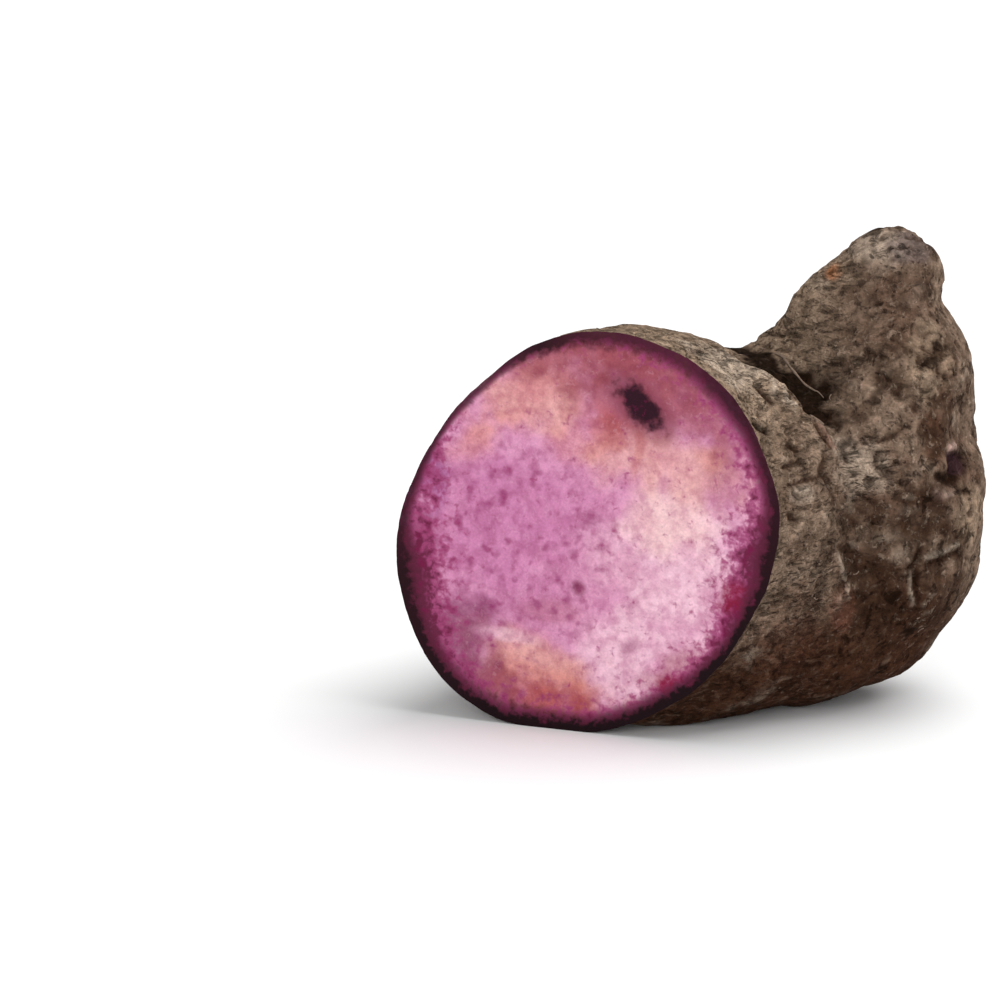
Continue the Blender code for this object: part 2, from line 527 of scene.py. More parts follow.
def fine_depths(points, wobble, skin):
    """The depth of the small relief, and the part of it that paints the skin darker in its hollows, dirt and painted
    shade, and paler on its ridges, painted highlight.
    """
    knobs = 0.4 * waves(points, 8, 5) + 0.2 * waves(points, 3.6, 6)
    calm = 0.3 + 0.7 * fade(points[:, 1] - CUT, 0, CALM_BEHIND_CUT)
    dents = sum(
        depth * zone(points, middle, radii, 0.25 * wobble) for middle, radii, depth in DENTS.values()
    )
    folds = fold_depths(points, FINE_FOLDS, wobble, skin)
    wrinkles = wrinkle_depths(points) * calm
    swells = sum(depth * soft_zone(points, middle, radii) for middle, radii, depth in SWELLS.values())
    rim = round_the_rim(points[:, [0, 2]], RIM_DENTS) * np.exp(-((points[:, 1] / RIM_DEPTH) ** 2))
    return folds + dents + swells + rim + wrinkles + knobs * calm, folds + wrinkles + 0.5 * knobs


def settle(points):
    """Brings what is below the ground up to it, and what is just above down to meet it."""
    height = np.maximum(points[:, 2] - GROUND, 0)
    points[:, 2] = GROUND + height * height / (height + GROUND_SOFTNESS)


def carved_skin():
    """The whole skin in millimetres, and the same skin before anything was carved into it."""
    mesh = remodelled(
        packed_body(),
        ("SUBSURF", {"levels": ROUNDING_LEVELS, "render_levels": ROUNDING_LEVELS}),
        *skin_of_squares(COARSE_SQUARE, 6),
    )
    uncarved = skin_tree(mesh)
    carve(mesh, big_depths(read_points(mesh), uncarved))
    mesh = remodelled(mesh, *skin_of_squares(FINE_SQUARE, 3))
    points, tree = read_points(mesh), skin_tree(mesh)
    wobble = waves(points, 4, 4)
    depths, hollow = fine_depths(points, wobble, tree)
    store(mesh, "hollow", hollow)
    store(mesh, "fold_mark_and_shadow", fold_marks_and_shadows(points, FINE_FOLDS, wobble, tree))
    carve(mesh, depths)
    points = read_points(mesh)
    settle(points)
    mesh.vertices.foreach_set("co", points.astype(np.float32).ravel())
    return mesh, uncarved


def store(mesh, name, values):
    """Keeps one number or one colour for each point of the mesh."""
    kind, field = ("FLOAT", "value") if values.ndim == 1 else ("FLOAT_COLOR", "color")
    attribute = mesh.attributes.new(name, kind, "POINT")
    attribute.data.foreach_set(field, np.ascontiguousarray(values, np.float32).ravel())


def stored(mesh, name):
    """What `store` kept for each point of the mesh."""
    data = mesh.attributes[name].data
    parts, field = (4, "color") if mesh.attributes[name].data_type == "FLOAT_COLOR" else (1, "value")
    values = np.empty(len(data) * parts, np.float32)
    data.foreach_get(field, values)
    return values.reshape(-1, parts).astype(float) if parts > 1 else values.astype(float)


def cut_flat(bm):
    """Takes away what stands in front of the cut and returns the rim's points in order."""
    for vert in bm.verts:
        if abs(vert.co.y - CUT) < SNAP_TO_CUT:
            vert.co.y = CUT
    everything = [*bm.verts, *bm.edges, *bm.faces]
    bmesh.ops.bisect_plane(
        bm, geom=everything, dist=1e-5, plane_co=(0, CUT, 0), plane_no=(0, -1, 0), clear_outer=True
    )
    edges = {e for e in bm.edges if e.is_boundary}
    edge = edges.pop()
    ordered = [edge.verts[0], edge.verts[1]]
    while edges:
        edge = next(e for e in ordered[-1].link_edges if e in edges)
        edges.discard(edge)
        ordered.append(edge.other_vert(ordered[-1]))
    return ordered[:-1]


def grid_inside(rim):
    """Points in a slightly shaken triangular grid that covers the cut face but keeps clear of its rim."""
    low, high = rim.min(0), rim.max(0)
    row_gap = FLESH_SPACING * math.sqrt(3) / 2
    rows = np.arange(low[1], high[1], row_gap)
    columns = np.arange(low[0], high[0], FLESH_SPACING)
    across, up = np.meshgrid(columns, rows)
    across[1::2] += FLESH_SPACING / 2
    grid = np.column_stack([across.ravel(), up.ravel()])
    shake = np.random.default_rng(5).uniform(-0.12, 0.12, grid.shape) * FLESH_SPACING
    grid += shake
    return grid[inside(grid, rim) & (rim_gap(grid, rim) > 0.6 * FLESH_SPACING)]


def inside(grid, rim):
    """Which points of the plane are inside the closed rim."""
    hits = np.zeros(len(grid), bool)
    for start, end in zip(rim, np.roll(rim, -1, axis=0), strict=True):
        spans = (start[1] > grid[:, 1]) != (end[1] > grid[:, 1])
        if spans.any():
            crossing = start[0] + (grid[spans, 1] - start[1]) / (end[1] - start[1]) * (end[0] - start[0])
            hits[spans] ^= grid[spans, 0] < crossing
    return hits


def rim_gap(grid, rim):
    """How far each point of the plane is from the closed rim."""
    nearest = np.full(len(grid), np.inf)
    for start, end in zip(rim, np.roll(rim, -1, axis=0), strict=True):
        step = end - start
        share = np.clip((grid - start) @ step / (step @ step), 0, 1)
        gap = np.linalg.norm(grid - start - share[:, None] * step, axis=1)
        nearest = np.minimum(nearest, gap)
    return nearest


def fill_face(bm, ordered):
    """Closes the cut with fine triangles, which get the second material."""
    rim = np.array([(v.co.x, v.co.z) for v in ordered])
    flat = np.vstack([rim, grid_inside(rim)])
    loop = list(range(len(rim)))
    edges = [(i, (i + 1) % len(rim)) for i in loop]
    made = geometry.delaunay_2d_cdt([Vector(p) for p in flat.tolist()], edges, [loop], 1, 1e-6)
    places, faces, sources = made[0], made[2], made[3]
    dips = flesh_dips(np.array([tuple(p) for p in places]), rim)
    verts = []
    for place, dip, source in zip(places, dips, sources, strict=True):
        on_rim = [i for i in source if i < len(rim)]
        verts.append(ordered[on_rim[0]] if on_rim else bm.verts.new((place.x, CUT + dip, place.y)))
    for corners in faces:
        face = bm.faces.new([verts[i] for i in corners])
        face.material_index = 1


def flesh_dips(flat, rim):
    """How far the cut flesh lies behind the cutting plane: shallow waves, knife marks and the dark spot's dip."""
    points = np.column_stack([flat[:, 0], np.zeros(len(flat)), flat[:, 1]])
    calm = fade(rim_gap(flat, rim), 0, 2.5)
    waviness = 0.10 * waves(points, 9, 11) + 0.05 * waves(points, 2.2, 12)
    slope = np.radians(KNIFE_TILT)
    across_knife = flat @ np.array([-math.sin(slope), math.cos(slope)])
    marks = 0.03 * np.sin(across_knife * 1.9 + 2.5 * waves(points, 20, 13))
    spot = 0.35 * (1 - fade(spot_reach(flat), 0.5, 1.1))
    return calm * (0.12 + waviness + marks) + spot


KNIFE_TILT = 12.0
SPOT_MIDDLE = (12.6, 30.1)
SPOT_RADII = (7.9, 3.8)
SPOT_TILT = -43.0


def spot_reach(flat):
    """Distance from the middle of the dark spot, 1 at its edge."""
    turn = np.radians(SPOT_TILT)
    from_middle = flat - np.array(SPOT_MIDDLE)
    lengthwise = from_middle @ np.array([math.cos(turn), math.sin(turn)]) / SPOT_RADII[0]
    crosswise = from_middle @ np.array([-math.sin(turn), math.cos(turn)]) / SPOT_RADII[1]
    return np.hypot(lengthwise, crosswise)


# ---- colours at the points ----


def from_screen(red, green, blue):
    """A colour in the shader's terms from its 0 to 255 parts as a screen shows it."""
    parts = np.array([red, green, blue]) / 255
    return np.where(parts <= 0.04045, parts / 12.92, ((parts + 0.055) / 1.055) ** 2.4)


SKIN_TONES = {
    "tan": from_screen(146, 124, 104),
    "taupe": from_screen(128, 107, 91),
    "brown": from_screen(96, 75, 62),
    "dark": from_screen(52, 34, 24),
    "black": from_screen(25, 12, 5),
    "soil_and_shade": from_screen(64, 40, 28),
    "reddish": from_screen(110, 64, 52),
    "rosy": from_screen(176, 146, 136),
    "purple_black": from_screen(56, 36, 40),
    "orange": from_screen(184, 116, 72),
    "pale": from_screen(186, 168, 150),
    "slate": from_screen(104, 90, 87),
}

# Stains of the skin: tone, middle, radii and strength. The soil patches low down are partly painted shade.
SKIN_STAINS = (
    ("tan", (20, 12, 42), (34, 16, 14), 0.9),
    ("pale", (28, 15, 38), (16, 10, 6), 0.6),
    ("pale", (56.3, 26.2, 14.3), (6, 8, 5.5), 0.35),
    ("taupe", (59.3, 34.9, 27.6), (4.5, 7, 6.5), 0.8),
    ("dark", (68.6, 32.4, 4.9), (7, 9, 5.5), 0.75),
    ("soil_and_shade", (60, 28, -26), (22, 26, 12), 0.8),
    ("soil_and_shade", (24, 10, -40), (30, 16, 9), 0.9),
    ("reddish", (52.4, 22.2, -16), (3.0, 5, 8), 0.35),
    ("reddish", (44, 12, -24), (9, 12, 8), 0.15),
    ("soil_and_shade", (52, 14, -30), (16, 14, 8), 0.5),
    ("pale", (64.5, 29, -5.5), (2.6, 4, 2.6), 0.35),
    ("soil_and_shade", (66, 34, -15), (13, 16, 13), 0.6),
    ("dark", (69, 36, -11), (5, 8, 6), 0.4),
    ("tan", (76.5, 46, 2.8), (3.2, 9, 8), 0.8),
    ("dark", (46, 38, 33), (6, 6, 5), 0.6),
    ("orange", (41.9, 47.8, 54.7), (2.0, 5, 1.5), 0.65),
    ("pale", (51, 51.5, 60.5), (6.5, 10, 4.5), 0.5),
    ("slate", (59.0, 52, 61), (5.2, 8, 4.6), 0.7),
    ("tan", (46.0, 46.9, 55.3), (3.4, 6, 3.5), 0.5),
    ("brown", (52.0, 47.5, 55.5), (3.6, 6, 3), 0.5),
    ("dark", (57.5, 23.5, 3), (9, 9, 5.5), 0.35),
    ("dark", (69, 33, -3.5), (6, 8, 5), 0.35),
    ("dark", (51, 30.5, 24.8), (2.8, 4, 2.8), 0.4),
    ("soil_and_shade", (71.5, 44, 27), (4, 7, 6), 0.55),
    ("tan", (65.3, 42.4, 38.0), (6, 8, 8), 0.8),
    ("taupe", (50.5, 41.6, 45.0), (6.5, 8, 4.5), 0.6),
    ("dark", (54.9, 22.4, -8.3), (2.8, 4.5, 3.4), 0.7),
    ("brown", (48.0, 6.8, 0.1), (3, 5, 3), 0.6),
    ("dark", (65.8, 29.5, -0.6), (4, 6, 4), 0.45),
    ("dark", (57.4, 37.0, 34.6), (5, 6, 3.6), 0.6),
    ("pale", (52.2, 25.9, 19.0), (3.4, 5, 3.6), 0.45),
    ("pale", (47.1, 7.4, 11.1), (3, 4, 2), 0.35),
    ("dark", (55.0, 21.2, 3.3), (2.6, 4, 3.4), 0.7),
    ("dark", (51.8, 13.9, -1.1), (3, 5, 3.4), 0.6),
    ("dark", (59.8, 25.2, -2.8), (3.4, 5, 3), 0.5),
    ("dark", (73.2, 39.7, -4.9), (3.4, 6, 5), 0.7),
    ("soil_and_shade", (68.4, 39.4, 20.0), (4, 6, 5.5), 0.85),
    ("dark", (68.3, 38.0, -22.1), (5, 7, 4.5), 0.95),
)


def mix(first, second, share):
    share = np.asarray(share)[:, None]
    return first * (1 - share) + second * share


def crease_shade(points, sunk):
    """How much painted shade, with dirt, blackens the crease at each point: where it was carved deep, and round the
    foot of the lobe.
    """
    wobble = waves(points, 5, 21)
    gap, place = along_path(points, CREASE_SHADE_PATH)
    reach = np.interp(place, np.linspace(0, 1, len(CREASE_SHADE_REACH)), CREASE_SHADE_REACH)
    crumbs = waves(points, 2.2, 25, 2)
    near = 1 - fade(gap / reach + 0.2 * wobble + 0.15 * crumbs, 0.7, 1.15)
    deep = fade(sunk + 0.5 * wobble + 0.4 * crumbs, 1.0, 2.6) * (1 - fade(gap, 9, 12))
    return np.maximum(0.97 * deep, 0.97 * near)


def fibrous(points):
    """How much the skin shows level fibres: on the neck, and on the wrinkled patch beside it."""
    patch = zone(points, (56.3, 27.0, 15.0), (8, 9, 8), 0.2 * waves(points, 5, 24))
    return np.maximum(on_neck(points), patch)


def skin_tone(points, hollow):
    wobble = waves(points, 5, 21)
    slow = waves(points, 16, 22, 3)
    blotch = waves(points, 6, 23, 3)
    tone = mix(SKIN_TONES["taupe"], SKIN_TONES["brown"], fade(slow, -0.3, 0.7))
    tan = on_neck(points) * fade(points[:, 2], -28, 30) * (1 - 0.7 * fade(points[:, 0], 37, 48))
    tone = mix(tone, SKIN_TONES["tan"], 0.75 * tan)
    # Darker towards the bottom: soil, and painted shade on the underside.
    tone = mix(tone, SKIN_TONES["soil_and_shade"], fade(-points[:, 2] + 5 * wobble, 10, 32))
    for name, middle, radii, strength in SKIN_STAINS:
        tone = mix(tone, SKIN_TONES[name], strength * zone(points, middle, radii, 0.35 * wobble))
    tone = mix(tone, SKIN_TONES["dark"], 0.5 * fade(blotch, 0.15, 0.55) * (1 - 0.6 * on_neck(points)))
    # Hollows of the small relief are painted darker, dirt and painted shade, and its ridges paler, painted highlight.
    tone = mix(tone, SKIN_TONES["dark"], 0.75 * fade(hollow, 0.15, 0.7))
    return mix(tone, SKIN_TONES["pale"], 0.4 * fade(-hollow, 0.02, 0.4))


FLESH_TONES = {
    "lilac": from_screen(192, 122, 163),
    "mauve": from_screen(208, 146, 178),
    "pale": from_screen(229, 188, 203),
    "cream": from_screen(217, 164, 161),
    "orange": from_screen(208, 142, 130),
    "brick": from_screen(172, 84, 84),
    "rose": from_screen(152, 78, 88),
    "plum": from_screen(150, 62, 106),
    "ivory": from_screen(232, 196, 192),
    "violet": from_screen(146, 84, 138),
    "smoke": from_screen(128, 64, 94),
    "magenta": from_screen(136, 44, 96),
    "crimson": from_screen(112, 24, 66),
    "blood": from_screen(128, 26, 56),
    "wine": from_screen(94, 34, 58),
    "dusk": from_screen(78, 28, 46),
    "line": from_screen(26, 12, 16),
    "bruise": from_screen(116, 50, 66),
    "spot": from_screen(46, 20, 31),
    "blush": from_screen(220, 190, 207),
}

# Stains of the flesh: tone, middle and radii across and up, tilt in degrees, and strength.
FLESH_STAINS = (
    ("lilac", (-22, 0), (24, 22), 0, 0.9),
    ("violet", (-39, 12), (6, 9), 20, 0.6),
    ("pale", (22, -8), (13, 24), -10, 1.0),
    ("pale", (8, -29), (15, 11), 35, 0.9),
    ("pale", (7, -5), (9, 8), 0, 0.45),
    ("ivory", (20, 5), (10, 9), 0, 0.7),
    ("cream", (24, 17), (14, 8), -15, 0.85),
    ("cream", (9, 19), (9, 7), 0, 0.8),
    ("orange", (28.5, 19.5), (3.5, 3), 0, 0.6),
    ("orange", (-13, 31), (18, 9), 20, 0.75),
    ("cream", (-8, 27), (9, 4.5), 25, 0.7),
    ("cream", (-21, 30), (6, 4), 30, 0.6),
    ("orange", (-26, 20), (8, 4), 30, 0.5),
    ("rose", (14, 41), (28, 7), -8, 0.95),
    ("rose", (-10, 40), (16, 5), 12, 0.8),
    ("rose", (20, 33), (13, 9), -35, 0.7),
    ("rose", (5, 31), (10, 8), -20, 0.75),
    ("brick", (3.5, 25), (6, 6), -30, 0.6),
    ("orange", (-11, -32), (18, 7.5), -18, 0.9),
    ("cream", (-12, -28), (9, 3.5), -10, 0.6),
    ("brick", (-9, -40), (17, 7), -8, 0.9),
    ("rose", (-8, -18), (8, 3), 0, 0.35),
    ("rose", (1, 38), (8, 6), 0, 0.8),
    ("rose", (27, 28), (8, 7), -45, 0.6),
    ("rose", (32, 16), (6, 8), -10, 0.45),
    ("rose", (21, -29), (8, 5), 35, 0.5),
    ("rose", (-22, -37), (10, 6), -35, 0.8),
    ("orange", (-3, 21), (8, 5), 0, 0.4),
    ("smoke", (-31, -27), (10, 12), -40, 0.75),
    ("pale", (-19, -24.5), (8, 1.6), -4, 0.6),
    ("crimson", (-43, -12), (7, 15), 0, 0.9),
    ("brick", (11.8, 18), (1.3, 5.5), -12, 0.45),
    ("magenta", (37, -13), (5, 13), -25, 0.6),
    ("magenta", (10.7, -24.6), (2.5, 1.6), 30, 0.5),
    ("magenta", (0.6, 4), (2.5, 1.5), 0, 0.5),
    ("crimson", (-1.4, -12), (2.0, 2.0), 0, 0.85),
)

# Small dark red blotches over the flesh and its band, given in the same way but for the tone.
BLOTCHES = (
    ((34.2, -11.0), (3.0, 4.6), -20, 0.8),
    ((19.6, -31.6), (3.0, 2.2), 20, 0.85),
)


def flat_zone(flat, middle, radii, tilt, wobble):
    turn = np.radians(tilt)
    from_middle = flat - np.array(middle)
    lengthwise = from_middle @ np.array([math.cos(turn), math.sin(turn)]) / radii[0]
    crosswise = from_middle @ np.array([-math.sin(turn), math.cos(turn)]) / radii[1]
    return 1 - fade(np.hypot(lengthwise, crosswise) + wobble, 0.35, 1.35)


def flesh_tone(flat):
    """The flesh's colour at each place of the cut, but for the rim's band."""
    points = np.column_stack([flat[:, 0], np.zeros(len(flat)), flat[:, 1]])
    wobble = 0.35 * waves(points, 7, 31, 3)
    tone = np.tile(FLESH_TONES["mauve"], (len(flat), 1))
    for name, middle, radii, tilt, strength in FLESH_STAINS:
        tone = mix(tone, FLESH_TONES[name], strength * flat_zone(flat, middle, radii, tilt, wobble))
    return tone


def opaque(tone):
    return np.column_stack([np.clip(tone, 0, 1), np.ones(len(tone))])


def depth_below(points, skin):
    """How far each point lies inside a skin; outside it the depth is negative."""
    depths = np.empty(len(points))
    for index, point in enumerate(points.tolist()):
        nearest, outward, _, gap = skin.find_nearest(Vector(point))
        depths[index] = math.copysign(gap, (nearest - Vector(point)).dot(outward))
    return depths


def paint(mesh, rim, uncarved):
    """Keeps at each point what the two materials need to know about it."""
    points = read_points(mesh)
    fold_mark_and_shadow = stored(mesh, "fold_mark_and_shadow")
    # The crease is painted black: painted shade, with dirt.
    shade = crease_shade(points, depth_below(points, uncarved))
    tone = mix(skin_tone(points, stored(mesh, "hollow")), SKIN_TONES["black"], shade)
    store(mesh, "skin_tone", opaque(mix(tone, fold_mark_and_shadow[:, :3], fold_mark_and_shadow[:, 3])))
    rough = wrinkle_strength(points) * (1 - 0.8 * fold_mark_and_shadow[:, 3]) * (1 - shade)
    store(mesh, "wrinkled", rough)
    store(mesh, "fibrous", rough * fibrous(points))
    flat = points[:, [0, 2]]
    on_face = points[:, 1] < 1.5
    gap = np.full(len(points), 99.0)
    gap[on_face] = rim_gap(flat[on_face], rim)
    bands = round_the_rim(flat, BAND_WIDTHS)
    strengths = round_the_rim(flat, BAND_STRENGTHS)
    store(mesh, "flesh_tone", opaque(flesh_tone(flat)))
    store(mesh, "line", gap / round_the_rim(flat, LINE_WIDTHS))
    store(mesh, "line_share", round_the_rim(flat, LINE_SHARES))
    store(mesh, "band", strengths * np.exp(-((gap / bands) ** 2)))
    store(mesh, "spot", spot_reach(flat))
    wobble = 0.35 * waves(points, 3, 41, 2)
    blotches = [strength * flat_zone(flat, *place, wobble) for *place, strength in BLOTCHES]
    store(mesh, "blotch", np.max(blotches, axis=0))
    speckled = flat_zone(flat, (-18, -6), (32, 30), 0, 0.0)
    store(mesh, "speckled", 0.05 + 0.95 * speckled)


# ---- materials ----


class Shading:
    """Short calls for building a material: each adds one shader node and gives its output."""

    def __init__(self, name):
        self.material = bpy.data.materials.new(name)
        self.material.use_nodes = True
        self.tree = self.material.node_tree
        self.surface = self.tree.nodes["Principled BSDF"]
        place = self.add("ShaderNodeTexCoord").outputs["Object"]
        self.place = self.stretched(place, (1 / METRES,) * 3)

    def add(self, kind, settings=None, inputs=None):
        node = self.tree.nodes.new(kind)
        for name, value in (settings or {}).items():
            setattr(node, name, value)
        for name, value in (inputs or {}).items():
            self.feed(node.inputs[name], value)
        return node

    def feed(self, socket, value):
        if isinstance(value, bpy.types.NodeSocket):
            self.tree.links.new(value, socket)
        else:
            socket.default_value = value

    def stretched(self, place, scale):
        return self.add("ShaderNodeMapping", inputs={"Vector": place, "Scale": scale}).outputs[0]

    def stored(self, name, output="Fac"):
        return self.add("ShaderNodeAttribute", {"attribute_name": name}).outputs[output]

    def noise(self, length, detail=3.0, roughness=0.55, place=None, bend=0.0):
        """Noise from 0 to 1 with swells `length` millimetres apart."""
        values = {"Vector": place or self.place, "Scale": 1 / length, "Detail": detail, "Roughness": roughness,
                  "Distortion": bend}
        return self.add("ShaderNodeTexNoise", {"noise_dimensions": "3D"}, values).outputs[0]

    def cells(self, length, feature="F1", output="Distance", place=None, randomness=1.0):
        """A pattern of cells `length` millimetres apart."""
        values = {"Vector": place or self.place, "Scale": 1 / length, "Randomness": randomness}
        return self.add("ShaderNodeTexVoronoi", {"feature": feature}, values).outputs[output]

    def math(self, operation, first, second=0.0):
        return self.add("ShaderNodeMath", {"operation": operation}, {0: first, 1: second}).outputs[0]

    def share(self, first, second, most):
        """The product of two shares and the most that it may be."""
        return self.math("MULTIPLY", self.math("MULTIPLY", first, second), most)

    def spread(self, value, start, end, low=0.0, high=1.0):
        """The value from start to end made into low to high, with a smooth change between."""
        values = {"Value": value, 1: start, 2: end, 3: low, 4: high}
        return self.add("ShaderNodeMapRange", {"interpolation_type": "SMOOTHSTEP"}, values).outputs[0]

    def mix(self, share, first, second, way="MIX"):
        node = self.add("ShaderNodeMix", {"data_type": "RGBA", "blend_type": way})
        for name, value in (("Factor_Float", share), ("A_Color", first), ("B_Color", second)):
            self.feed(next(s for s in node.inputs if s.identifier == name), value)
        return next(s for s in node.outputs if s.identifier == "Result_Color")

    def shade(self, colour, factor):
        """The colour made darker or lighter by a factor."""
        grey = self.add("ShaderNodeCombineColor", inputs={0: factor, 1: factor, 2: factor}).outputs[0]
        return self.mix(1.0, colour, grey, "MULTIPLY")

    def bump(self, height, depth, under=None):
        """Turns a height from 0 to 1 into relief `depth` millimetres deep."""
        values = {"Height": height, "Distance": depth * METRES, "Strength": 1.0}
        if under is not None:
            values["Normal"] = under
        return self.add("ShaderNodeBump", inputs=values).outputs[0]


def shader_colour(tone):
    return (*tone.tolist(), 1.0)


def skin_material():
    skin = Shading("yam_skin")
    tone = skin.stored("skin_tone", "Color")
    wrinkled, fibrous = skin.stored("wrinkled"), skin.stored("fibrous")
    level = skin.stretched(skin.place, (0.38, 0.38, 1.0))
    soft = skin.noise(4.0, 3, 0.6, bend=0.5)
    coarse = skin.noise(2.0, 5, 0.64, bend=0.5)
    fine = skin.noise(0.6, 4, 0.6)
    fibres = skin.noise(1.15, 4, 0.6, place=level, bend=1.0)
    pale_fibres = skin.math("MULTIPLY", skin.spread(fibres, 0.53, 0.66), fibrous)
    dark_fibres = skin.math("MULTIPLY", skin.spread(fibres, 0.45, 0.36), fibrous)
    pale_blobs = skin.spread(skin.noise(1.7, 4, 0.62, bend=0.4), 0.54, 0.68)
    pale_blobs = skin.math("MULTIPLY", pale_blobs, skin.spread(wrinkled, 0.2, 0.7, 0.15, 0.7))
    clusters = skin.spread(skin.noise(3.6, 5, 0.66, bend=0.6), 0.52, 0.66)
    clusters = skin.math("MULTIPLY", clusters, skin.spread(fibrous, 0.1, 0.8, 0.9, 0.25))
    slits = skin.spread(skin.noise(1.5, 3, 0.55, place=level, bend=0.6), 0.57, 0.66)
    slits = skin.math("MULTIPLY", slits, skin.spread(fibrous, 0.1, 0.6, 0.25, 1.0))
    pits = skin.spread(skin.noise(1.5, 2, 0.5, bend=0.3), 0.63, 0.76)
    pits = skin.math("MULTIPLY", pits, skin.spread(fibrous, 0.1, 0.5, 0.8, 0.1))
    specks = skin.spread(skin.cells(1.9), 0.22, 0.10)
    specks = skin.math("MULTIPLY", specks, skin.spread(skin.noise(5.0, 3, 0.6), 0.56, 0.64, 0.0, 0.75))
    specks = skin.math("MULTIPLY", specks, skin.spread(wrinkled, 0.1, 0.4))

    # Where the relief sinks the colour is painted darker, dirt and painted shade; where it rises paler, the skin's
    # pale fibres and painted highlight.
    pale = skin.mix(0.3, skin.shade(tone, 1.8), shader_colour(SKIN_TONES["pale"]))
    deep = skin.mix(0.5, skin.shade(tone, 0.3), shader_colour(SKIN_TONES["black"]))
    colour = skin.shade(tone, skin.spread(soft, 0.3, 0.7, 0.78, 1.2))
    colour = skin.shade(colour, skin.spread(coarse, 0.3, 0.7, 0.7, 1.3))
    colour = skin.mix(pale_blobs, colour, pale)
    colour = skin.mix(fibrous, colour, skin.shade(colour, skin.spread(fibres, 0.33, 0.67, 0.58, 1.42)))
    colour = skin.mix(skin.math("MULTIPLY", pale_fibres, 0.6), colour, pale)
    colour = skin.mix(clusters, colour, deep)
    colour = skin.mix(skin.math("MULTIPLY", dark_fibres, 0.45), colour, deep)
    colour = skin.mix(skin.math("MULTIPLY", slits, 0.6), colour, deep)
    colour = skin.mix(pits, colour, deep)
    colour = skin.mix(specks, colour, pale)
    colour = skin.shade(colour, skin.spread(fine, 0.25, 0.75, 0.77, 1.15))

    relief = skin.bump(coarse, 0.9)
    relief = skin.bump(pale_fibres, 0.55, relief)
    relief = skin.bump(dark_fibres, -0.5, relief)
    relief = skin.bump(clusters, -0.25, relief)
    relief = skin.bump(slits, -0.45, relief)
    relief = skin.bump(pale_blobs, 0.25, relief)
    relief = skin.bump(pits, -0.3, relief)
    relief = skin.bump(fine, 0.15, relief)
    skin.feed(skin.surface.inputs["Base Color"], colour)
    skin.feed(skin.surface.inputs["Normal"], relief)
    skin.feed(skin.surface.inputs["Roughness"], skin.spread(coarse, 0.3, 0.7, 0.92, 0.78))
    skin.surface.inputs["Specular IOR Level"].default_value = 0.02
    return skin.material


